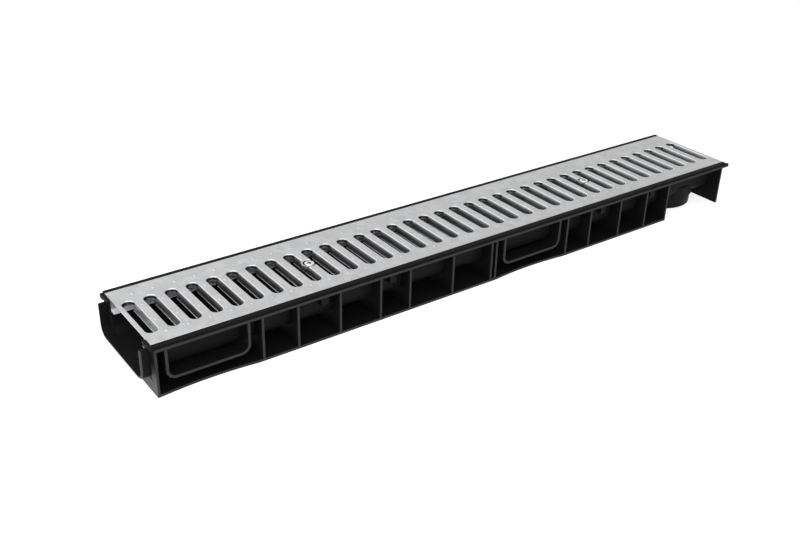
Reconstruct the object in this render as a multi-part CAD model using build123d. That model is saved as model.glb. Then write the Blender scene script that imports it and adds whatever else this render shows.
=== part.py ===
"""Plastic channel drain with a pressed steel grating, held down by two lock screws.

X runs along the channel from its socket end, Y across it and Z up.
The origin is on the centre line, on the ground, under the socket end's plate.
"""
from build123d import *
from math import radians, tan
import os

# Overall sizes of the laid channel
laying_length = 1000.0
total_height = 70.0

# Trough that carries the water
wall = 3.4
trough_inside = 104.0
floor_above_ground = 23.4
trough_corner_inside = 12.6

# Rim around the grating, on both long sides
seat_thickness = 2.6
rim_gap = 0.5
upstand_thickness = 5.7
ledge_overhang = 1.3
ledge_height = 4.4
ledge_width = 5.0
ledge_drop = 3.6

# Short blocks between the trough's wall and the rim, on both sides
block_starts = [224.0, 329.0, 717.0, 826.0]
block_length = 10.0
block_drop = 22.0

# Ribs, which are plates right across the channel under the trough and beside it
rib_thickness = 3.2
rib_middles = [
    139.0, 188.5, 250.2, 312.4, 359.6, 432.2, 500.5, 509.0, 646.0, 693.6, 757.5, 816.0, 865.5
]
arch_rise = 9.0
foot_height = 3.5
foot_width = 56.0
foot_recess = 4.0
foot_recess_length = 132.0

# Raised outlines where a side inlet can be cut out
inlet_middles = [67.4, 576.8]
inlet_width = 109.4
inlet_depth = 50.7
inlet_line = 3.6
inlet_corner = 13.0

# Socket at the start and spigot at the far end
end_plate = 3.2
far_plate_setback = 5.0
socket_length = 12.0
socket_inside = 120.8
socket_floor_above_ground = 20.8
socket_wall = 3.3
socket_corner = 12.0
socket_top_drop = 8.0
socket_lead_in = 1.6
joint_clearance = 0.4
spigot_wall = 2.2
collar_length = 3.6
collar_height = 2.0
lug_overrun = 4.0
far_lug_width = 8.0
near_lug_width = 3.6
tongue_length = 10.0
tongue_width = 6.0
tongue_taper = 2.4

# Outlet pipe under the floor
outlet_station = 929.0
outlet_outside = 110.0
outlet_wall = 3.2
outlet_above_ground = 1.0
outlet_shoulder = 2.4
outlet_shoulder_drop = 3.0

# Grating, pressed and folded from one sheet
sheet = 1.1
grating_width = 139.0
leg_clearance = 0.4
leg_depth = 17.0
lip_width = 9.5
fold_radius = 2.2
slot_count = 36
slot_opening = 16.0
slot_length = 83.0
slot_offset = -5.0
slot_roll = 1.6
flap_depth = 10.5
flap_lean = 13.0
flap_end_depth = 6.0
flap_end_cut = 9.0
stud_rows = [-50.5, -20.3, 20.3, 50.5]
stud_diameter = 5.0
stud_height = 0.8

# Cups for the lock screws, the screws, and the bars that they pull up
lock_middles = [250.0, 750.0]
cup_inside = 17.4
cup_roll = 1.0
cup_land = 2.4
cup_depth = 6.2
screw_diameter = 8.0
screw_hole_clearance = 0.5
thread_clearance = 0.08
head_diameter = 13.4
head_round = 1.3
cross_width = 1.7
cross_length = 7.4
cross_depth = 2.2
screw_tip = 2.0
bar_drop = 21.0
bar_width = 20.0
bar_height = 9.0
bar_clearance = 0.5
bar_groove_width = 2.6
bar_groove_depth = 1.4
bar_groove_places = [-6.0, 0.0, 6.0]
stop_height = 3.5
stop_reach = 6.0

# How far a cutting solid reaches past what it cuts
cut_margin = 1.0

# Places worked out from the sizes above
upstand_inside = grating_width / 2 + rim_gap
rim_half = upstand_inside + upstand_thickness
ledge_half = rim_half + ledge_overhang
trough_half = trough_inside / 2
trough_outer_half = trough_half + wall
trough_bottom = floor_above_ground - wall
trough_corner_outside = trough_corner_inside + wall
seat_top = total_height - 2 * sheet
seat_bottom = seat_top - seat_thickness
socket_half = socket_inside / 2
socket_top = total_height - socket_top_drop
far_plate_end = laying_length - far_plate_setback
far_plate_start = far_plate_end - end_plate
outlet_radius = outlet_outside / 2
slot_pitch = laying_length / slot_count
bar_top = total_height - bar_drop


def block(x_range, y_range, z_range):
    """Box between the given limits on each axis."""
    sizes = [high - low for low, high in (x_range, y_range, z_range)]
    corner = Pos(x_range[0], y_range[0], z_range[0])
    return corner * Box(*sizes, align=(Align.MIN, Align.MIN, Align.MIN))


def both_sides(solid):
    """A solid and its mirror image on the other side of the centre line."""
    return [solid, mirror(solid, about=Plane.XZ)]


def trough_prism(half_width, bottom, top, corner, start, end):
    """Bar along X with the section of a trough: flat top and rounded lower corners."""
    outline = Pos(0, bottom) * Rectangle(
        2 * half_width, top - bottom, align=(Align.CENTER, Align.MIN)
    )
    outline = fillet(outline.vertices().group_by(Axis.Y)[0], corner)
    return extrude(Plane.YZ.offset(start) * outline, amount=end - start)


def cross_plate(start, end):
    """Plate across the channel, from the ground up to the seat."""
    return block((start, end), (-rim_half, rim_half), (0, seat_bottom))


def rib(middle):
    """Rib across the channel, with an arch between its two feet."""
    start = middle - rib_thickness / 2
    plate = cross_plate(start, start + rib_thickness)
    half_span = rim_half - foot_width
    radius = (half_span**2 + arch_rise**2) / (2 * arch_rise)
    arch = Cylinder(radius, 2 * rib_thickness, rotation=(0, 90, 0))
    return plate - Pos(middle, 0, arch_rise - radius) * arch


def rim():
    """Seat for the grating, upstand beside it and ledge under it, on one side."""
    ledge_top = total_height - ledge_drop
    whole = (0, laying_length)
    seat = block((-lug_overrun, laying_length), (trough_half, rim_half), (seat_bottom, seat_top))
    upstand = block(whole, (upstand_inside, rim_half), (seat_bottom, total_height))
    ledge = block(whole, (ledge_half - ledge_width, ledge_half), (ledge_top - ledge_height, ledge_top))
    return [seat, upstand, ledge]


def rim_block(start):
    """Short block under the rim, against the trough's wall, on one side."""
    return block(
        (start, start + block_length),
        (trough_outer_half - wall / 2, ledge_half - ledge_width),
        (total_height - block_drop, seat_top),
    )


def foot():
    """Foot flange on one side, its outer edge drawn in by a shallow curve at each side inlet."""
    end = rib_middles[-1] + rib_thickness / 2
    strip = block((0, end), (rim_half - foot_width, rim_half), (0, foot_height))
    half_length = foot_recess_length / 2
    radius = (half_length**2 + foot_recess**2) / (2 * foot_recess)
    for middle in inlet_middles:
        strip -= Pos(middle, rim_half - foot_recess + radius, 0) * Cylinder(radius, 3 * foot_height)
    return strip


def inlet_outline(middle):
    """Rib in the shape of a trough's section that marks a side inlet, on one side."""
    bottom = total_height - inlet_depth
    outer = inlet_face(middle, inlet_width / 2, bottom, inlet_corner)
    inner = inlet_face(
        middle, inlet_width / 2 - inlet_line, bottom + inlet_line, inlet_corner - inlet_line
    )
    depth = rim_half - trough_half - wall / 2
    return Pos(0, rim_half, 0) * extrude(Plane.XZ * (outer - inner), amount=depth)


def inlet_face(middle, half_width, bottom, corner):
    """Outline of a side inlet seen from the side."""
    face = Pos(middle, bottom) * Rectangle(
        2 * half_width, seat_bottom - bottom, align=(Align.CENTER, Align.MIN)
    )
    return fillet(face.vertices().group_by(Axis.Y)[0], corner)


def bar_stop(middle):
    """Stop inside the trough, on one side, that holds a lock bar down."""
    half = bar_width / 2
    return block(
        (middle - half, middle + half),
        (trough_half - stop_reach, trough_half + wall / 2),
        (bar_top, bar_top + stop_height),
    )


def socket():
    """Socket at the start, which takes the spigot of the channel before it."""
    ring = trough_prism(
        socket_half + socket_wall,
        socket_floor_above_ground - socket_wall,
        socket_top,
        socket_corner + socket_wall,
        -socket_length,
        0,
    )
    mouth = ring.faces().sort_by(Axis.X)[0].edges()
    ring = chamfer([edge for edge in mouth if edge.center().Z < socket_top - cut_margin], socket_lead_in)
    return ring - trough_prism(
        socket_half,
        socket_floor_above_ground,
        socket_top + cut_margin,
        socket_corner,
        -socket_length,
        0,
    )


def spigot():
    """Spigot at the far end, which fits the socket of the next channel."""
    half = socket_half - joint_clearance
    bottom = socket_floor_above_ground + joint_clearance
    corner = socket_corner - joint_clearance
    end = far_plate_end + socket_length
    outside = trough_prism(half, bottom, socket_top, corner, far_plate_end, end)
    inside = trough_prism(
        half - spigot_wall,
        bottom + spigot_wall,
        socket_top + cut_margin,
        corner - spigot_wall,
        far_plate_end,
        end,
    )
    return outside - inside


def collar():
    """Thicker ring round the trough where it meets the far end's plate."""
    return trough_prism(
        trough_outer_half + collar_height,
        trough_bottom - collar_height,
        seat_bottom,
        trough_corner_outside + collar_height,
        far_plate_start - collar_length,
        far_plate_start,
    )


def end_lugs():
    """Small lugs that line up the rims of two channels laid end to end."""
    lug_length = (-lug_overrun, 0)
    far_lug = block(lug_length, (rim_half - far_lug_width, rim_half), (socket_top, seat_top))
    near_lug = block(
        lug_length,
        (-socket_half - near_lug_width / 2, near_lug_width / 2 - socket_half),
        (socket_top, seat_top),
    )
    tongue = block(
        (laying_length, laying_length + tongue_length),
        (-ledge_half, tongue_width - ledge_half),
        (total_height - ledge_drop - ledge_height, total_height - ledge_drop),
    )
    tip_edges = tongue.faces().sort_by(Axis.X)[-1].edges().filter_by(Axis.Z)
    return [far_lug, near_lug, chamfer(tip_edges, tongue_taper)]


def outlet(radius, bottom):
    """Upright cylinder at the outlet, up to where the trough's walls are straight."""
    height = floor_above_ground + trough_corner_inside - bottom
    place = Pos(outlet_station, 0, bottom)
    return place * Cylinder(radius, height, align=(Align.CENTER, Align.CENTER, Align.MIN))


def channel_body():
    """The channel, moulded in one piece."""
    solids = [
        trough_prism(trough_outer_half, trough_bottom, seat_top, trough_corner_outside, 0, far_plate_end)
    ]
    solids += [rib(middle) for middle in rib_middles]
    solids += [cross_plate(0, end_plate), cross_plate(far_plate_start, far_plate_end)]
    for piece in rim():
        solids += both_sides(piece)
    solids += both_sides(foot())
    for start in block_starts:
        solids += both_sides(rim_block(start))
    for middle in inlet_middles:
        solids += both_sides(inlet_outline(middle))
    shoulder = outlet(outlet_radius + outlet_shoulder, trough_bottom - outlet_shoulder_drop)
    solids += [outlet(outlet_radius, outlet_above_ground), shoulder, collar()]
    body = solids[0].fuse(*solids[1:])
    body -= trough_prism(
        trough_half,
        floor_above_ground,
        total_height + cut_margin,
        trough_corner_inside,
        -cut_margin,
        laying_length,
    )
    body -= outlet(outlet_radius - outlet_wall, 0)
    extras = [socket(), spigot()] + end_lugs()
    for middle in lock_middles:
        extras += both_sides(bar_stop(middle))
    return body.fuse(*extras).clean()


def folded_section():
    """Section of the grating: top, edges folded back under it, legs and lips."""
    half = grating_width / 2
    leg_outside = trough_half - leg_clearance
    section = Pos(0, -sheet / 2) * Rectangle(grating_width, sheet)
    for side in (-1, 1):
        hem_middle = (half + leg_outside) / 2
        hem = Pos(side * hem_middle, -1.5 * sheet) * Rectangle(half - leg_outside, sheet)
        leg = Pos(side * (leg_outside - sheet / 2), -leg_depth / 2) * Rectangle(sheet, leg_depth)
        lip = Pos(side * (leg_outside - lip_width / 2), sheet / 2 - leg_depth) * Rectangle(
            lip_width, sheet
        )
        section += hem + leg + lip
        outer_bend = section.vertices().sort_by_distance((side * leg_outside, -leg_depth, 0))[0]
        section = fillet(outer_bend, fold_radius)
        bend_inside = (side * (leg_outside - sheet), sheet - leg_depth, 0)
        inner_bend = section.vertices().sort_by_distance(bend_inside)[0]
        section = fillet(inner_bend, fold_radius - sheet)
        edge_corners = [(side * half, 0, 0), (side * half, -2 * sheet, 0)]
        for corner in edge_corners:
            section = fillet(section.vertices().sort_by_distance(corner)[0], 0.9 * sheet)
    return section


def long_round_solid(half_section):
    """Solid with the outline of a slot: a half section turned at both ends and straight between."""
    half_straight = (slot_length - slot_opening) / 2
    section = half_section + mirror(half_section, about=Plane.YZ)
    straight = extrude(section, amount=half_straight, both=True)
    round_end = Pos(0, half_straight, 0) * revolve(half_section, axis=Axis.Z)
    return straight.fuse(*both_sides(round_end)).clean()


def flaps_solid():
    """The flaps round one slot, filled in, from the middle of the sheet's thickness down."""
    lean = tan(radians(flap_lean))
    top_radius = slot_opening / 2 + sheet - lean * sheet / 2
    low_radius = slot_opening / 2 + sheet - lean * flap_depth
    corners = [(0, -sheet / 2), (top_radius, -sheet / 2), (low_radius, -flap_depth), (0, -flap_depth)]
    return long_round_solid(Plane.XZ * make_face(Polyline(*corners, close=True)))


def slot_hollow():
    """The hollow of one slot, with the rolled edge round its mouth."""
    depth = flap_depth + cut_margin
    top_radius = slot_opening / 2
    low_radius = top_radius - depth * tan(radians(flap_lean))
    mouth_radius = top_radius + 2 * slot_roll
    corners = [
        (0, cut_margin),
        (mouth_radius, cut_margin),
        (mouth_radius, 0),
        (top_radius, 0),
        (low_radius, -depth),
        (0, -depth),
    ]
    section = make_face(Polyline(*corners, close=True))
    inner_corner = section.vertices().sort_by_distance((top_radius, 0, 0))[0]
    return long_round_solid(Plane.XZ * fillet(inner_corner, slot_roll))


def slot_tile():
    """One pitch of the grating, with one slot and the flaps pressed down round it."""
    tile = extrude(Plane.YZ * folded_section(), amount=slot_pitch / 2, both=True)
    slot_place = Pos(0, slot_offset, 0)
    flaps = flaps_solid()
    end_cut = block(
        (-slot_opening, slot_opening),
        (slot_length / 2 - flap_end_cut, slot_length / 2 + 2 * sheet),
        (-flap_depth, -flap_end_depth),
    )
    for cut in both_sides(end_cut):
        flaps -= cut
    return (tile + slot_place * flaps) - slot_place * slot_hollow()


def cup(middle):
    """Round cup in the grating for the head of a lock screw, without its inside."""
    radius = cup_inside / 2
    shell = Pos(middle, 0, 0) * Cylinder(
        radius + cup_land, cup_depth + sheet, align=(Align.CENTER, Align.CENTER, Align.MAX)
    )
    return shell - Pos(middle + slot_pitch / 2, slot_offset, 0) * slot_hollow()


def cup_hollow(middle):
    """The hollow of a cup, with a rounded mouth, and the screw's hole in its floor."""
    top_align = (Align.CENTER, Align.CENTER, Align.MAX)
    hollow = Cylinder(cup_inside / 2, cup_depth, align=top_align)
    mouth_radius = cup_inside / 2 + cup_roll
    mouth = Cylinder(mouth_radius, cup_roll, align=top_align)
    mouth -= Pos(0, 0, -cup_roll) * Torus(mouth_radius, cup_roll)
    hole = Cylinder(screw_diameter / 2 + screw_hole_clearance, flap_depth, align=top_align)
    return Pos(middle, 0, 0) * (hollow + mouth + hole)


def grating():
    """Slotted grating with pressed studs and two cups for the lock screws."""
    tile = slot_tile()
    tiles = [Pos((number + 0.5) * slot_pitch, 0, 0) * tile for number in range(slot_count)]
    cover = tiles[0].fuse(*tiles[1:])
    cover = cover.fuse(*[cup(middle) for middle in lock_middles])
    for middle in lock_middles:
        cover -= cup_hollow(middle)
    studs = []
    for number in range(1, slot_count):
        for row in stud_rows:
            studs.append(Pos(number * slot_pitch, row, 0) * stud())
    cover = cover.fuse(*studs).clean()
    return Pos(0, 0, total_height) * cover


def stud():
    """Low round stud that makes the grating less slippery."""
    return Cone(
        stud_diameter / 2,
        stud_diameter / 4,
        stud_height,
        align=(Align.CENTER, Align.CENTER, Align.MIN),
    )


def lock_screw(middle):
    """Screw with a rounded head and a cross recess. Its thread is a plain cylinder."""
    top_align = (Align.CENTER, Align.CENTER, Align.MAX)
    head = Cylinder(head_diameter / 2, cup_depth, align=top_align)
    head = fillet(head.edges().group_by(Axis.Z)[-1], head_round)
    shank_end = bar_drop + bar_height + screw_tip
    screw = head + Cylinder(screw_diameter / 2, shank_end, align=top_align)
    arm = Box(cross_length, cross_width, 2 * cross_depth)
    screw -= arm + Rot(0, 0, 90) * arm
    return Pos(middle, 0, total_height) * screw


def lock_bar(middle):
    """Bar across the trough under a lock screw. Its round ends let it turn under the stops."""
    low_align = (Align.CENTER, Align.CENTER, Align.MIN)
    radius = trough_half - bar_clearance
    bar = Box(bar_width, trough_inside, bar_height, align=low_align)
    bar &= Cylinder(radius, bar_height, align=low_align)
    for place in bar_groove_places:
        groove_place = Pos(place, 0, bar_height - bar_groove_depth)
        bar -= groove_place * Box(
            bar_groove_width, trough_inside, 2 * bar_groove_depth, align=low_align
        )
    bar -= Cylinder(screw_diameter / 2 + thread_clearance, bar_height, align=low_align)
    return Pos(middle, 0, bar_top - bar_height) * bar


os.makedirs("parts", exist_ok=True)
export_step(channel_body(), "parts/channel_body.step")
export_step(grating(), "parts/grating.step")
export_step(Compound(children=[lock_screw(middle) for middle in lock_middles]), "parts/lock_screws.step")
for number, middle in enumerate(lock_middles, start=1):
    export_step(lock_bar(middle), f"parts/lock_bar_{number}.step")
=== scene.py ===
# %% [markdown]
# A channel drain in Blender
#
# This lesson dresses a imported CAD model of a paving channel: a black moulded plastic
# body and a slotted, galvanised steel grating. The CAD gives every size and place.
# Blender adds what moulding, folding and galvanising leave on the surfaces.

import math

import bmesh
import bpy
from mathutils import Matrix, Quaternion, Vector


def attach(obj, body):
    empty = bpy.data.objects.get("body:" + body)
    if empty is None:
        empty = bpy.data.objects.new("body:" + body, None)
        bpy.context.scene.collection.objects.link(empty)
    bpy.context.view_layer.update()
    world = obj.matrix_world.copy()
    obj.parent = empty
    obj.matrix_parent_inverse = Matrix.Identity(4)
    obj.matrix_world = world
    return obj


MM = 0.001

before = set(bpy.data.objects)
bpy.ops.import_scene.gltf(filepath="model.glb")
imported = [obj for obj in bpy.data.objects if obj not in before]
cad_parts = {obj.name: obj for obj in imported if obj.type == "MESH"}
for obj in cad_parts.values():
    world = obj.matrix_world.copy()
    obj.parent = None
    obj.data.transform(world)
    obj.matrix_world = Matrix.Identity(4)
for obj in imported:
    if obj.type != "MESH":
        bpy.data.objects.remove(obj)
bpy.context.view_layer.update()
print("CAD nodes:", sorted(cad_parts))

# %% [markdown]
# The camera stands left of the near end and looks along the channel, as the photograph
# does. It is placed by its point, the point on the grating that its middle sees, and a
# small roll. The lens is given for a 36 mm wide film.

# %% The camera
CAMERA_POINT = Vector((-0.3389, -0.99483, 0.69224))
AIM_POINT = Vector((0.34236, -0.07429, 0.07))
CAMERA_ROLL = math.radians(1.611)
LENS_MM = 45.11
FILM_WIDTH_MM = 36.0
NEAREST_SEEN = 10.0 * MM

camera_data = bpy.data.cameras.new("camera")
camera_data.lens = LENS_MM
camera_data.sensor_width = FILM_WIDTH_MM
camera_data.sensor_fit = "HORIZONTAL"
camera_data.clip_start = NEAREST_SEEN
camera = bpy.data.objects.new("camera", camera_data)
bpy.context.scene.collection.objects.link(camera)
looking = (AIM_POINT - CAMERA_POINT).to_track_quat("-Z", "Y")
camera.location = CAMERA_POINT
camera.rotation_mode = "QUATERNION"
camera.rotation_quaternion = looking @ Quaternion((0.0, 0.0, 1.0), CAMERA_ROLL)
bpy.context.scene.camera = camera
print("Camera", round((AIM_POINT - CAMERA_POINT).length, 3), "m from its aim")

# %% [markdown]
# Nodes are wired by small helpers, so that each finish below reads as a list of what it
# is made of: a pattern, and how it changes the colour, the roughness or the height. The
# first helpers make a material and its nodes.

# %% Helpers for nodes


def new_material(name):
    """An empty node material with its shader and its output joined."""
    material = bpy.data.materials.new(name)
    material.use_nodes = True
    tree = material.node_tree
    tree.nodes.clear()
    shader = tree.nodes.new("ShaderNodeBsdfPrincipled")
    output = tree.nodes.new("ShaderNodeOutputMaterial")
    tree.links.new(shader.outputs["BSDF"], output.inputs["Surface"])
    return material, tree, shader


def add_node(tree, kind, settings=None, inputs=None):
    """A node with its settings and its unlinked input values."""
    node = tree.nodes.new(kind)
    for key, value in (settings or {}).items():
        setattr(node, key, value)
    for key, value in (inputs or {}).items():
        node.inputs[key].default_value = value
    return node


def coordinates(tree, kind):
    """The output that gives each point's place or its surface's direction."""
    return add_node(tree, "ShaderNodeTexCoord").outputs[kind]


def separate(tree, vector):
    """The outputs X, Y and Z of a place or a direction."""
    node = add_node(tree, "ShaderNodeSeparateXYZ")
    tree.links.new(vector, node.inputs["Vector"])
    return node.outputs


def calculate(tree, operation, first, second=None):
    """One step of arithmetic on patterns or numbers."""
    node = add_node(tree, "ShaderNodeMath", {"operation": operation})
    for socket, value in zip(node.inputs, (first, second)):
        if isinstance(value, float):
            socket.default_value = value
        elif value is not None:
            tree.links.new(value, socket)
    return node.outputs["Value"]


def give(node_name, material):
    """A CAD node's whole surface in one finish."""
    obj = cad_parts[node_name]
    obj.data.materials.clear()
    obj.data.materials.append(material)
    print(node_name, "is finished in", material.name)


print("Helpers for nodes are ready")

# %% [markdown]
# A mark such as a scuff has a place on the part. A comparison on the object's own
# coordinates gives 1 at that place and 0 elsewhere, so the mark stays on the part
# however it is turned or seen. Each limit comes with the width of its soft step, both
# in metres. Places are multiplied to get what they have in common.

# %% Helpers for places


def beyond(tree, distance, limit, softness):
    """0 up to a limit, and 1 from there on, with a soft step before it."""
    node = add_node(
        tree,
        "ShaderNodeMapRange",
        {"interpolation_type": "SMOOTHSTEP"},
        {"From Min": limit - softness, "From Max": limit},
    )
    tree.links.new(distance, node.inputs["Value"])
    return node.outputs["Result"]


def short_of(tree, distance, limit, softness):
    """1 up to a limit, and 0 from there on, with a soft step before it."""
    return calculate(tree, "SUBTRACT", 1.0, beyond(tree, distance, limit, softness))


def layer(tree, distance, first, last):
    """1 between two limits, each given with its soft step, and 0 outside."""
    after_first = beyond(tree, distance, *first)
    before_last = short_of(tree, distance, *last)
    return calculate(tree, "MINIMUM", after_first, before_last)


def all_of(tree, pattern, *others):
    """Patterns multiplied, so 1 only where each of them is 1."""
    for other in others:
        pattern = calculate(tree, "MULTIPLY", pattern, other)
    return pattern


print("Helpers for places are ready")

# %% [markdown]
# The last helpers turn patterns into colour, roughness and height. Greys get a touch of
# blue, as metal and dust have it under a pale sky. The Mix node has sockets for several
# kinds of value under the same names, so those for colours are picked by number.

# %% Helpers for patterns
COOL = 1.08
FAINTLY_COOL = 1.02
COOL_GREEN = 1.01
MIX_COLOURS = (6, 7)
MIX_RESULT = 2


def noise(tree, place, scale, detail, roughness):
    """A soft cloudy pattern with about scale lumps to the metre."""
    node = add_node(
        tree,
        "ShaderNodeTexNoise",
        inputs={"Scale": scale, "Detail": detail, "Roughness": roughness},
    )
    tree.links.new(place, node.inputs["Vector"])
    return node.outputs["Fac"]


def spread(tree, value, low, high):
    """A pattern from 0 to 1 turned into a number from low to high."""
    node = add_node(tree, "ShaderNodeMapRange", inputs={"To Min": low, "To Max": high})
    tree.links.new(value, node.inputs["Value"])
    return node.outputs["Result"]


def grey(level, blue=COOL):
    """A neutral colour with a touch of blue."""
    return (level, level * COOL_GREEN, level * blue)


def mix_colours(tree, value, first, second):
    """A pattern from 0 to 1 turned into a colour between two, plain or linked."""
    node = add_node(tree, "ShaderNodeMix", {"data_type": "RGBA"})
    tree.links.new(value, node.inputs["Factor"])
    for number, colour in zip(MIX_COLOURS, (first, second)):
        if isinstance(colour, tuple):
            node.inputs[number].default_value = (*colour, 1.0)
        else:
            tree.links.new(colour, node.inputs[number])
    return node.outputs[MIX_RESULT]


def lift(tree, shader, height, distance, strength):
    """The shader's surface raised by a pattern, by a distance in metres."""
    node = add_node(
        tree, "ShaderNodeBump", inputs={"Strength": strength, "Distance": distance}
    )
    tree.links.new(height, node.inputs["Height"])
    tree.links.new(node.outputs["Normal"], shader.inputs["Normal"])


print("Helpers for patterns are ready")

# %% [markdown]
# Hot-dip zinc cools in flat crystals, so a galvanised sheet is a patchwork of slightly
# different greys. A Voronoi pattern gives each crystal its own colour, and its red and
# green serve as two random numbers: one for the shade and one for the roughness.
# Real crystals have ragged borders, so a cloudy noise first pushes the place about.

# %% Zinc crystals
CRYSTALS_PER_METRE = 95.0
RAGGED_PER_METRE = 60.0
RAGGED_DETAIL = 2.0
RAGGED_BY = 8.0 * MM


def zinc_crystals(tree, place):
    """Random numbers from 0 to 1 for each crystal, as the outputs Red and Green."""
    cloud = add_node(
        tree,
        "ShaderNodeTexNoise",
        inputs={"Scale": RAGGED_PER_METRE, "Detail": RAGGED_DETAIL},
    )
    tree.links.new(place, cloud.inputs["Vector"])
    push = add_node(
        tree, "ShaderNodeVectorMath", {"operation": "SCALE"}, {"Scale": RAGGED_BY}
    )
    tree.links.new(cloud.outputs["Color"], push.inputs[0])
    pushed = add_node(tree, "ShaderNodeVectorMath", {"operation": "ADD"})
    tree.links.new(place, pushed.inputs[0])
    tree.links.new(push.outputs[0], pushed.inputs[1])
    crystals = add_node(
        tree, "ShaderNodeTexVoronoi", inputs={"Scale": CRYSTALS_PER_METRE}
    )
    tree.links.new(pushed.outputs[0], crystals.inputs["Vector"])
    shade = add_node(tree, "ShaderNodeSeparateColor")
    tree.links.new(crystals.outputs["Color"], shade.inputs["Color"])
    return shade.outputs


print("Zinc crystals:", CRYSTALS_PER_METRE, "to the metre")

# %% [markdown]
# At some places the zinc gets a painted tone that stands in for light and shade. The
# rolled edge of each slot is painted light, as a highlight. The flaps below it are
# painted darker, as shade. At the slots' far ends the sheet turns down in a lip that is
# painted nearly black as shade, with a less dark tip. The lip of the far leg is painted
# light, as a lit patch, and is hardly metallic. The cups round the screws are painted
# dark, as shade.
# Depth below the top and place across the sheet tell these apart.

# %% Places on the grating
TOP = 70.0 * MM
MIDDLE = 500.0 * MM
SCREW_FROM_MIDDLE = 250.0 * MM
ROLLED = ((-50.0 * MM, 1.0 * MM), (28.0 * MM, 4.0 * MM))
ROLL_FROM = (0.15 * MM, 0.10 * MM)
ROLL_TO = (0.8 * MM, 0.4 * MM)
SLOTS = ((-50.0 * MM, 1.0 * MM), (40.0 * MM, 1.5 * MM))
FLAP_FROM = (6.0 * MM, 5.2 * MM)
LEG_FROM = (40.0 * MM, 1.0 * MM)
LEG_LIP_FROM = (14.5 * MM, 1.0 * MM)
CUP_TO = (9.2 * MM, 0.4 * MM)
CUP_FROM = (0.9 * MM, 0.5 * MM)
FAR_ENDS = ((29.0 * MM, 3.0 * MM), (42.0 * MM, 1.0 * MM))
LIP_FROM = (1.6 * MM, 0.6 * MM)
TIP_FROM = (4.6 * MM, 0.6 * MM)
TIP_TO = (9.0 * MM, 1.0 * MM)


def below_top(tree, axis):
    """How deep a point lies under the grating's top."""
    return calculate(tree, "SUBTRACT", TOP, axis["Z"])


def from_screw(tree, axis):
    """How far a point lies from the nearer screw's middle, seen from above."""
    along = calculate(tree, "SUBTRACT", axis["X"], MIDDLE)
    along = calculate(tree, "ABSOLUTE", along)
    along = calculate(tree, "SUBTRACT", along, SCREW_FROM_MIDDLE)
    across = calculate(tree, "ABSOLUTE", axis["Y"])
    squares = [calculate(tree, "POWER", side, 2.0) for side in (along, across)]
    return calculate(tree, "SQRT", calculate(tree, "ADD", *squares))


def painted_places(tree, axis):
    """The places where light or shade is painted on the sheet, by name."""
    depth, y = below_top(tree, axis), axis["Y"]
    far_ends = layer(tree, y, *FAR_ENDS)
    cup = short_of(tree, from_screw(tree, axis), *CUP_TO)
    pairs = {
        "rolls": (layer(tree, depth, ROLL_FROM, ROLL_TO), layer(tree, y, *ROLLED)),
        "flaps": (beyond(tree, depth, *FLAP_FROM), layer(tree, y, *SLOTS)),
        "leg_lip": (beyond(tree, y, *LEG_FROM), beyond(tree, depth, *LEG_LIP_FROM)),
        "cups": (cup, beyond(tree, depth, *CUP_FROM)),
        "lips": (layer(tree, depth, LIP_FROM, TIP_FROM), far_ends),
        "tips": (layer(tree, depth, TIP_FROM, TIP_TO), far_ends),
    }
    return {name: all_of(tree, *pair) for name, pair in pairs.items()}


# The cups round the screws are painted dark, as shade.
screws_at = [MIDDLE - SCREW_FROM_MIDDLE, MIDDLE + SCREW_FROM_MIDDLE]
print("Cups are grimy round the screws at", screws_at, "m")

# %% [markdown]
# The sheet's finish puts these together: the crystals' tones, then the painted light or
# shade of each place over them. A fine noise adds the dulling that comes with storage,
# and a broader one the slight ripple of a dipped surface.

# %% Galvanised steel
SHEET_TONES = (0.56, 0.64)
SHEET_ROUGHNESS = (0.30, 0.42)
SHEET_METALLIC = 0.95
FLAP_SHADE_COOL = 1.06
# Tones painted over the zinc, standing in for highlights, lit patches and shade.
PAINTED_TONES = {
    # rolls: a painted highlight on the rolled slot edges
    "rolls": (0.90, FAINTLY_COOL),
    # flaps: painted shade, darker with depth below the top
    "flaps": (0.19, FLAP_SHADE_COOL),
    # leg_lip: a painted lit patch on the far leg's lip
    "leg_lip": (0.95, COOL),
    # cups: painted shade round the screw heads
    "cups": (0.03, COOL),
    # lips and tips: painted shade at the slots' far ends, less dark at the tips
    "lips": (0.04, FAINTLY_COOL),
    "tips": (0.22, FAINTLY_COOL),
}
DULLING = (900.0, 4.0, 0.6)
DULLED_BY = (-0.03, 0.06)
RIPPLE = (260.0, 3.0, 0.55)
RIPPLE_HEIGHT = 0.2 * MM
RIPPLE_STRENGTH = 0.35


def galvanised_steel(name, tones, roughness, metallic):
    """Zinc crystals on sheet steel, with painted light and shade at set places."""
    material, tree, shader = new_material(name)
    place = coordinates(tree, "Object")
    shade = zinc_crystals(tree, place)
    dark, light = [grey(tone, FAINTLY_COOL) for tone in tones]
    colour = mix_colours(tree, shade["Red"], dark, light)
    painted = painted_places(tree, separate(tree, place))
    for key, (level, blue) in PAINTED_TONES.items():
        colour = mix_colours(tree, painted[key], colour, grey(level, blue))
    tree.links.new(colour, shader.inputs["Base Color"])
    rough = spread(tree, shade["Green"], *roughness)
    dulling = spread(tree, noise(tree, place, *DULLING), *DULLED_BY)
    rough = calculate(tree, "ADD", rough, dulling)
    tree.links.new(rough, shader.inputs["Roughness"])
    # The leg's lip, painted light, is also made hardly metallic.
    not_lit_leg_lip = calculate(tree, "SUBTRACT", 1.0, painted["leg_lip"])
    tree.links.new(all_of(tree, not_lit_leg_lip, metallic), shader.inputs["Metallic"])
    ripple = noise(tree, place, *RIPPLE)
    lift(tree, shader, ripple, RIPPLE_HEIGHT, RIPPLE_STRENGTH)
    return material


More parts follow.
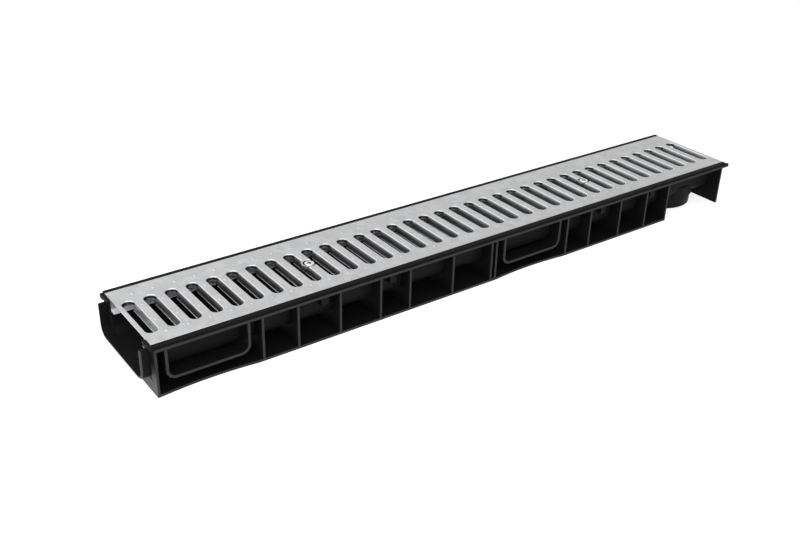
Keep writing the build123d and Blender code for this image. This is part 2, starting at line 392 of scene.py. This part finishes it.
give(
    "grating",
    galvanised_steel("galvanised_steel", SHEET_TONES, SHEET_ROUGHNESS, SHEET_METALLIC),
)

# %% [markdown]
# The body and the lock bars are moulded in plastic. Its skin is satin, with cloudy flow
# marks and a very fine grain from the mould. The lock bars are dark grey rather than
# black and have more gloss, as they show through the slots, so they get a recipe of
# their own from the same function.

# %% Moulded plastic
FLOW_MARKS = (22.0, 4.0, 0.6)
GRAIN = (1400.0, 2.0, 0.5)
GRAIN_HEIGHT = 0.05 * MM
GRAIN_STRENGTH = 0.5
SATIN = (0.40, 0.55)
NO_TINT = 1.0
BAR_TONES = (0.045, 0.075)
BAR_GLOSS = 0.5


def moulded_plastic(name, tones, gloss):
    """Satin plastic with cloudy flow marks and a fine grain."""
    material, tree, shader = new_material(name)
    place = coordinates(tree, "Object")
    dark, light = [grey(tone, NO_TINT) for tone in tones]
    colour = mix_colours(tree, noise(tree, place, *FLOW_MARKS), dark, light)
    tree.links.new(colour, shader.inputs["Base Color"])
    grain = noise(tree, place, *GRAIN)
    tree.links.new(spread(tree, grain, *SATIN), shader.inputs["Roughness"])
    shader.inputs["Specular IOR Level"].default_value = gloss
    lift(tree, shader, grain, GRAIN_HEIGHT, GRAIN_STRENGTH)
    return material, tree, shader, colour


bar_plastic = moulded_plastic("bar_plastic", BAR_TONES, BAR_GLOSS)[0]
for bar_name in ("lock_bar_1", "lock_bar_2"):
    give(bar_name, bar_plastic)

# %% [markdown]
# The body's outermost faces have been handled and stacked: they are scuffed, and they
# are also painted greyer as a highlight, the end plate lighter towards the bottom. A
# face counts as marked by its place and by its facing outwards, for which the surface's
# own direction is compared too. That takes in the ribs' outer edges, the feet's edges,
# the end plate and the socket's mouth, and leaves the faces beside them, which run
# inwards, black.
# The rim's top is painted the blackest, as shade.

# %% Places on the body
OUTERMOST_FROM = (75.4 * MM, 0.4 * MM)
LEDGE_LINE = (66.0 * MM, 1.0 * MM)
FOOT_EDGE = ((71.5 * MM, 0.5 * MM), (80.0 * MM, 0.5 * MM))
FOOT_TO = (3.6 * MM, 0.4 * MM)
PLATE_FACE_TO = (0.4 * MM, 0.2 * MM)
PLATE_SIDES_FROM = (63.5 * MM, 0.5 * MM)
UNDER_SOCKET = (17.0 * MM, 1.0 * MM)
PLATE_TO = (48.0 * MM, 36.0 * MM)
SOCKET_MOUTH = (10.3 * MM, 0.1 * MM)
RIM_TOP = (69.5 * MM, 1.0 * MM)
# The rim's top is painted near black, as shade on a face that looks up.
SHADED_RIM_TOP = 0.003
# Greys for scuffs that also serve as a painted highlight.
SCUFF_AND_SHEEN_SIDE = 0.060
SCUFF_AND_SHEEN_PLATE = 0.180
SCUFF_AND_SHEEN_SOCKET = 0.130


def marked_places(tree, axis, facing):
    """Lists of patterns that limit a mark, each with its facing and its grey."""
    across = calculate(tree, "ABSOLUTE", axis["Y"])
    from_plate = calculate(tree, "ABSOLUTE", axis["X"])
    outwards = calculate(tree, "MULTIPLY", axis["X"], -1.0)
    sideways = calculate(tree, "ABSOLUTE", facing["Y"])
    endways = calculate(tree, "ABSOLUTE", facing["X"])
    side = [
        beyond(tree, across, *OUTERMOST_FROM),
        short_of(tree, axis["Z"], *LEDGE_LINE),
    ]
    foot = [layer(tree, across, *FOOT_EDGE), short_of(tree, axis["Z"], *FOOT_TO)]
    plate_sides = beyond(tree, across, *PLATE_SIDES_FROM)
    under_socket = short_of(tree, axis["Z"], *UNDER_SOCKET)
    plate = [
        short_of(tree, from_plate, *PLATE_FACE_TO),
        calculate(tree, "MAXIMUM", plate_sides, under_socket),
        short_of(tree, axis["Z"], *PLATE_TO),
    ]
    # Sides, feet, end plate and socket's mouth: scuffs and a painted highlight.
    return [
        (side, sideways, SCUFF_AND_SHEEN_SIDE),
        (foot, sideways, SCUFF_AND_SHEEN_SIDE),
        (plate, endways, SCUFF_AND_SHEEN_PLATE),
        ([beyond(tree, outwards, *SOCKET_MOUTH)], endways, SCUFF_AND_SHEEN_SOCKET),
        # The rim's top: painted shade.
        ([beyond(tree, axis["Z"], *RIM_TOP)], facing["Z"], SHADED_RIM_TOP),
    ]


print("Scuffs lie beyond", OUTERMOST_FROM[0], "m from the middle and on the near end")

# %% [markdown]
# The scuffs, painted highlights and painted shade go over the black in turn. A rough
# noise breaks each of them up, so that neither the wear nor the painted light is even.

# %% Scuffed plastic with painted highlights
BLACK_TONES = (0.008, 0.013)
BLACK_GLOSS = 0.05
WEAR_AND_SHEEN = (130.0, 5.0, 0.7)
WEAR_AND_SHEEN_BY = (0.55, 1.0)
FACING_OUT = (0.8, 0.3)


def scuffed_and_sheen_plastic():
    """Black plastic, greyer on the outermost faces and the near end, as scuffs and
    painted highlight.
    """
    material, tree, shader, colour = moulded_plastic(
        "black_plastic", BLACK_TONES, BLACK_GLOSS
    )
    place = coordinates(tree, "Object")
    axis = separate(tree, place)
    facing = separate(tree, coordinates(tree, "Normal"))
    wear_and_sheen = spread(tree, noise(tree, place, *WEAR_AND_SHEEN), *WEAR_AND_SHEEN_BY)
    for limits, direction, level in marked_places(tree, axis, facing):
        facing_out = beyond(tree, direction, *FACING_OUT)
        marked = all_of(tree, *limits, wear_and_sheen, facing_out)
        colour = mix_colours(tree, marked, colour, grey(level))
    tree.links.new(colour, shader.inputs["Base Color"])
    return material


give("channel_body", scuffed_and_sheen_plastic())

# %% [markdown]
# The lock screws are bright zinc plate, turned and then tumbled, so their grain runs in
# no direction and is finer than the sheet's. From a millimetre or so below the
# grating's top the plate is painted dark, as shade in the recesses and on the sides of
# the heads.

# %% Plated steel
PLATE_TONES = ((0.80, 0.80, 0.79), (0.90, 0.90, 0.90))
PLATE_CLOUDS = (420.0, 3.0, 0.5)
PLATE_ROUGHNESS = (0.20, 0.32)
TUMBLING = (3000.0, 2.0, 0.5)
TUMBLING_HEIGHT = 0.02 * MM
TUMBLING_STRENGTH = 0.4
# A dark grey painted below the grating's top, as shade.
SCREW_SHADE = 0.06
SCREW_SHADE_FROM = (1.3 * MM, 0.7 * MM)


def plated_steel():
    """Bright plate, painted dark below the grating's top as shade."""
    material, tree, shader = new_material("plated_steel")
    place = coordinates(tree, "Object")
    clouds = noise(tree, place, *PLATE_CLOUDS)
    colour = mix_colours(tree, clouds, *PLATE_TONES)
    shaded = beyond(tree, below_top(tree, separate(tree, place)), *SCREW_SHADE_FROM)
    colour = mix_colours(tree, shaded, colour, grey(SCREW_SHADE))
    tree.links.new(colour, shader.inputs["Base Color"])
    rough = spread(tree, clouds, *PLATE_ROUGHNESS)
    tree.links.new(rough, shader.inputs["Roughness"])
    shader.inputs["Metallic"].default_value = 1.0
    tumbling = noise(tree, place, *TUMBLING)
    lift(tree, shader, tumbling, TUMBLING_HEIGHT, TUMBLING_STRENGTH)
    return material


give("lock_screws", plated_steel())

# %% [markdown]
# New pieces are modelled as by hand: a primitive is added, chosen faces of it are
# shaped in edit mode, and an array modifier, once applied, repeats it along the
# channel. Operators act on all that is selected, so everything is deselected first.

# %% Helpers for pieces
SMOOTH_BELOW = math.radians(50.0)


def select_only(obj):
    """Only this object selected and active."""
    bpy.ops.object.select_all(action="DESELECT")
    bpy.context.view_layer.objects.active = obj
    obj.select_set(True)


def edit_faces(obj, wanted):
    """Edit mode, with the faces selected whose normal passes a test."""
    select_only(obj)
    bpy.ops.object.mode_set(mode="EDIT")
    bpy.ops.mesh.select_mode(type="FACE")
    bpy.ops.mesh.select_all(action="DESELECT")
    shape = bmesh.from_edit_mesh(obj.data)
    for face in shape.faces:
        face.select_set(wanted(face.normal))
    bmesh.update_edit_mesh(obj.data)


def apply_array(obj, count, step):
    """Copies of a mesh in a line, made one mesh."""
    array = obj.modifiers.new("row", "ARRAY")
    array.count = count
    array.use_relative_offset = False
    array.use_constant_offset = True
    array.constant_offset_displace = step
    bpy.ops.object.modifier_apply(modifier="row")


def own_copy(obj, name, offset):
    """A copy with its own mesh, moved inside that mesh."""
    copied = bpy.data.objects.new(name, obj.data.copy())
    copied.data.transform(Matrix.Translation(offset))
    bpy.context.scene.collection.objects.link(copied)
    return copied


def finish_piece(piece, material):
    """Smooth shading by angle, and what the frame has to know of a piece."""
    select_only(piece)
    bpy.ops.object.shade_smooth_by_angle(angle=SMOOTH_BELOW)
    piece.data.materials.clear()
    piece.data.materials.append(material)
    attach(piece, "root")


print("Helpers for pieces are ready")

# %% [markdown]
# The studs are domes pressed up in the sheet. One is made from a short cylinder whose
# top is inset and raised in four steps, and an array along the channel makes a row of
# it. Each row is a copy with its own mesh. The CAD's flat cones stay under the domes.
# In the sheet's own zinc such domes glint too strongly, so theirs is a duller one.

# %% Pressed studs
SLOT_COUNT = 36
GRATING_LENGTH = 1000.0 * MM
SLOT_PITCH = GRATING_LENGTH / SLOT_COUNT
STUDS_IN_ROW = SLOT_COUNT - 1
STUD_ROWS = [-50.5 * MM, -20.3 * MM, 20.3 * MM, 50.5 * MM]
STUD_RADIUS = 3.0 * MM
STUD_CORNERS = 12
STUD_DISC = 0.1 * MM
STUD_STEPS = [
    (0.50 * MM, 0.28 * MM),
    (0.60 * MM, 0.40 * MM),
    (0.75 * MM, 0.20 * MM),
    (0.60 * MM, 0.04 * MM),
]
STUD_TONES = (0.54, 0.60)
STUD_ROUGHNESS = (0.41, 0.51)
STUD_METALLIC = 0.80
END_FACE = 0.9


def stud_row():
    """A row of domes over the channel's middle line."""
    bpy.ops.object.select_all(action="DESELECT")
    bpy.ops.mesh.primitive_cylinder_add(
        vertices=STUD_CORNERS,
        radius=STUD_RADIUS,
        depth=STUD_DISC,
        location=(SLOT_PITCH, 0.0, TOP),
    )
    stud = bpy.context.object
    bpy.ops.object.transform_apply(location=True, rotation=True, scale=True)
    edit_faces(stud, lambda normal: normal.z > END_FACE)
    for inward, upward in STUD_STEPS:
        bpy.ops.mesh.inset(thickness=inward)
        bpy.ops.transform.translate(value=(0.0, 0.0, upward))
    bpy.ops.object.mode_set(mode="OBJECT")
    apply_array(stud, STUDS_IN_ROW, (SLOT_PITCH, 0.0, 0.0))
    return stud


stud_zinc = galvanised_steel("stud_zinc", STUD_TONES, STUD_ROUGHNESS, STUD_METALLIC)
first_row = stud_row()
for number, row in enumerate(STUD_ROWS, start=1):
    studs = own_copy(first_row, f"stud_row_{number}", (0.0, row, 0.0))
    finish_piece(studs, stud_zinc)
faces_each = len(first_row.data.polygons) // STUDS_IN_ROW
print("Studs:", STUDS_IN_ROW * len(STUD_ROWS), "of", faces_each, "faces")
bpy.data.objects.remove(first_row)

# %% [markdown]
# Where the flaps were sheared, the dip in zinc leaves a thin round bead on the cut
# edge, and it catches the light as a bright line deep in each slot. A bead is a thin
# cylinder with bevelled ends, laid along the cut edge of a flap and repeated along the
# channel.

# %% Zinc beads on the flaps
FLAP_DEPTH = 10.5 * MM
FLAP_EDGE = 6.1 * MM
SLOT_OFFSET = -5.0 * MM
BEAD_ROWS = {"flap_beads_near": -1, "flap_beads_far": 1}
BEAD_RADIUS = 0.72 * MM
BEAD_LENGTH = 64.0 * MM
BEAD_CORNERS = 10
BEAD_BEVEL = 0.4 * MM


def bead_row(name, side):
    """Beads on one of the two flaps of every slot."""
    bpy.ops.object.select_all(action="DESELECT")
    bpy.ops.mesh.primitive_cylinder_add(
        vertices=BEAD_CORNERS,
        radius=BEAD_RADIUS,
        depth=BEAD_LENGTH,
        rotation=(math.radians(90.0), 0.0, 0.0),
        location=(SLOT_PITCH / 2 + side * FLAP_EDGE, SLOT_OFFSET, TOP - FLAP_DEPTH),
    )
    bead = bpy.context.object
    bead.name = name
    bpy.ops.object.transform_apply(location=True, rotation=True, scale=True)
    edit_faces(bead, lambda normal: abs(normal.y) > END_FACE)
    bpy.ops.mesh.bevel(offset=BEAD_BEVEL, segments=1, affect="EDGES")
    bpy.ops.object.mode_set(mode="OBJECT")
    apply_array(bead, SLOT_COUNT, (SLOT_PITCH, 0.0, 0.0))
    return bead


bead_rows = [bead_row(name, side) for name, side in BEAD_ROWS.items()]
for beads in bead_rows:
    print(beads.name, len(beads.data.polygons), "faces")

# %% [markdown]
# The beads' zinc is painted lighter than the sheet's, as a highlight. It is only
# partly metallic, because a full mirror would show the dark slot around it.

# %% Bead zinc
# Tones painted lighter than the sheet's, as a highlight.
BEAD_HIGHLIGHT_TONES = (0.72, 0.88)
BEAD_CLOUDS = (300.0, 3.0, 0.6)
BEAD_ROUGHNESS = (0.25, 0.45)
BEAD_METALLIC = 0.4


def highlight_bead_zinc():
    """Zinc painted brighter than the sheet's, as a highlight."""
    material, tree, shader = new_material("highlight_bead_zinc")
    clouds = noise(tree, coordinates(tree, "Object"), *BEAD_CLOUDS)
    dark, light = [grey(tone, FAINTLY_COOL) for tone in BEAD_HIGHLIGHT_TONES]
    colour = mix_colours(tree, clouds, dark, light)
    tree.links.new(colour, shader.inputs["Base Color"])
    rough = spread(tree, clouds, *BEAD_ROUGHNESS)
    tree.links.new(rough, shader.inputs["Roughness"])
    shader.inputs["Metallic"].default_value = BEAD_METALLIC
    return material


highlight_zinc = highlight_bead_zinc()
for beads in bead_rows:
    finish_piece(beads, highlight_zinc)
    print(beads.name, "is finished in", highlight_zinc.name)

# %% [markdown]
# The floor is plain and pale. It glows for rays from the camera and for reflections, so
# it looks white, but not for rays that carry light, so the glow doesn't light the
# object. Light Path tells these rays apart. The floor still darkens a little where the
# object shades it.

# %% The floor
FLOOR_SIZE = 60.0
FLOOR_POINT = (0.5, 0.0, -0.3 * MM)
FLOOR_TONES = ((0.79, 0.79, 0.79), (0.81, 0.81, 0.81))
FLOOR_CLOUDS = (3.0, 2.0, 0.5)
FLOOR_ROUGHNESS = 0.9
FLOOR_GLOW = 0.76
WHITE = (1.0, 1.0, 1.0, 1.0)


def pale_floor():
    """A wide floor just under the feet."""
    bpy.ops.object.select_all(action="DESELECT")
    bpy.ops.mesh.primitive_plane_add(size=FLOOR_SIZE, location=FLOOR_POINT)
    floor = bpy.context.object
    floor.name = "floor"
    bpy.ops.object.transform_apply(location=True, rotation=True, scale=True)
    material, tree, shader = new_material("floor_white")
    clouds = noise(tree, coordinates(tree, "Object"), *FLOOR_CLOUDS)
    colour = mix_colours(tree, clouds, *FLOOR_TONES)
    tree.links.new(colour, shader.inputs["Base Color"])
    shader.inputs["Roughness"].default_value = FLOOR_ROUGHNESS
    shader.inputs["Specular IOR Level"].default_value = 0.0
    rays = add_node(tree, "ShaderNodeLightPath").outputs
    seen = calculate(tree, "MAXIMUM", rays["Is Camera Ray"], rays["Is Glossy Ray"])
    glow = spread(tree, seen, 0.0, FLOOR_GLOW)
    tree.links.new(glow, shader.inputs["Emission Strength"])
    shader.inputs["Emission Color"].default_value = WHITE
    floor.data.materials.append(material)
    return floor


floor = pale_floor()
print("Floor:", floor.name, FLOOR_SIZE, "m wide")

# %% [markdown]
# The camera sees the world as white. As light it is a soft sky of 0.3 of that.
# Reflections see it white towards the near end and a little darker towards the far one,
# because the zinc in the photograph grows darker along the channel. The view transform
# is Standard, so a white of 1 stays white in the picture.

# %% The world
SKY_LIGHT = 0.30
MIRRORED_ENDS = {"From Min": 0.2, "From Max": 0.8, "To Min": 1.0, "To Max": 0.76}


def white_world():
    """A white backdrop that lights the object as a soft sky."""
    world = bpy.data.worlds.new("white_world")
    bpy.context.scene.world = world
    world.use_nodes = True
    tree = world.node_tree
    tree.nodes.clear()
    sky = add_node(tree, "ShaderNodeBackground", inputs={"Color": WHITE})
    direction = separate(tree, coordinates(tree, "Generated"))
    mirrored = add_node(tree, "ShaderNodeMapRange", inputs=MIRRORED_ENDS)
    tree.links.new(direction["X"], mirrored.inputs["Value"])
    rays = add_node(tree, "ShaderNodeLightPath").outputs
    strength = all_of(tree, rays["Is Glossy Ray"], mirrored.outputs["Result"])
    strength = calculate(tree, "MAXIMUM", strength, rays["Is Camera Ray"])
    strength = calculate(tree, "MAXIMUM", strength, SKY_LIGHT)
    tree.links.new(strength, sky.inputs["Strength"])
    output = add_node(tree, "ShaderNodeOutputWorld")
    tree.links.new(sky.outputs["Background"], output.inputs["Surface"])


white_world()
bpy.context.scene.view_settings.view_transform = "Standard"
print("World: white to the camera,", SKY_LIGHT, "as light")

# %% [markdown]
# A wide soft box hangs over the channel, towards the near end and the camera's side. It
# lights the grating's top and leaves the ribs dark. A low, wide strip in front lights
# the scuffed outer faces, and a weak fill from the left lights the near end.

# %% Lamps
LAMPS = {
    "overhead_lamp": {
        "point": (-0.3, -0.5, 1.3),
        "aim": (0.5, 0.0, 0.05),
        "sides": (2.4, 2.0),
        "watts": 18.0,
    },
    "front_lamp": {
        "point": (0.3, -2.0, 0.16),
        "aim": (0.5, 0.0, 0.02),
        "sides": (2.4, 0.25),
        "watts": 10.0,
    },
    "left_lamp": {
        "point": (-2.0, -0.4, 0.6),
        "aim": (0.0, 0.0, 0.04),
        "sides": (1.2, 0.8),
        "watts": 5.0,
    },
}


def soft_lamp(name, point, aim, sides, watts):
    """A rectangular lamp at a point, turned to its aim."""
    lamp_data = bpy.data.lights.new(name, "AREA")
    lamp_data.shape = "RECTANGLE"
    lamp_data.size, lamp_data.size_y = sides
    lamp_data.energy = watts
    lamp = bpy.data.objects.new(name, lamp_data)
    bpy.context.scene.collection.objects.link(lamp)
    lamp.location = point
    lamp.rotation_mode = "QUATERNION"
    turned = (Vector(aim) - Vector(point)).to_track_quat("-Z", "Y")
    lamp.rotation_quaternion = turned
    print(name, "gives", watts, "W over", sides[0], "by", sides[1], "m")


for name, settings in LAMPS.items():
    soft_lamp(name, **settings)
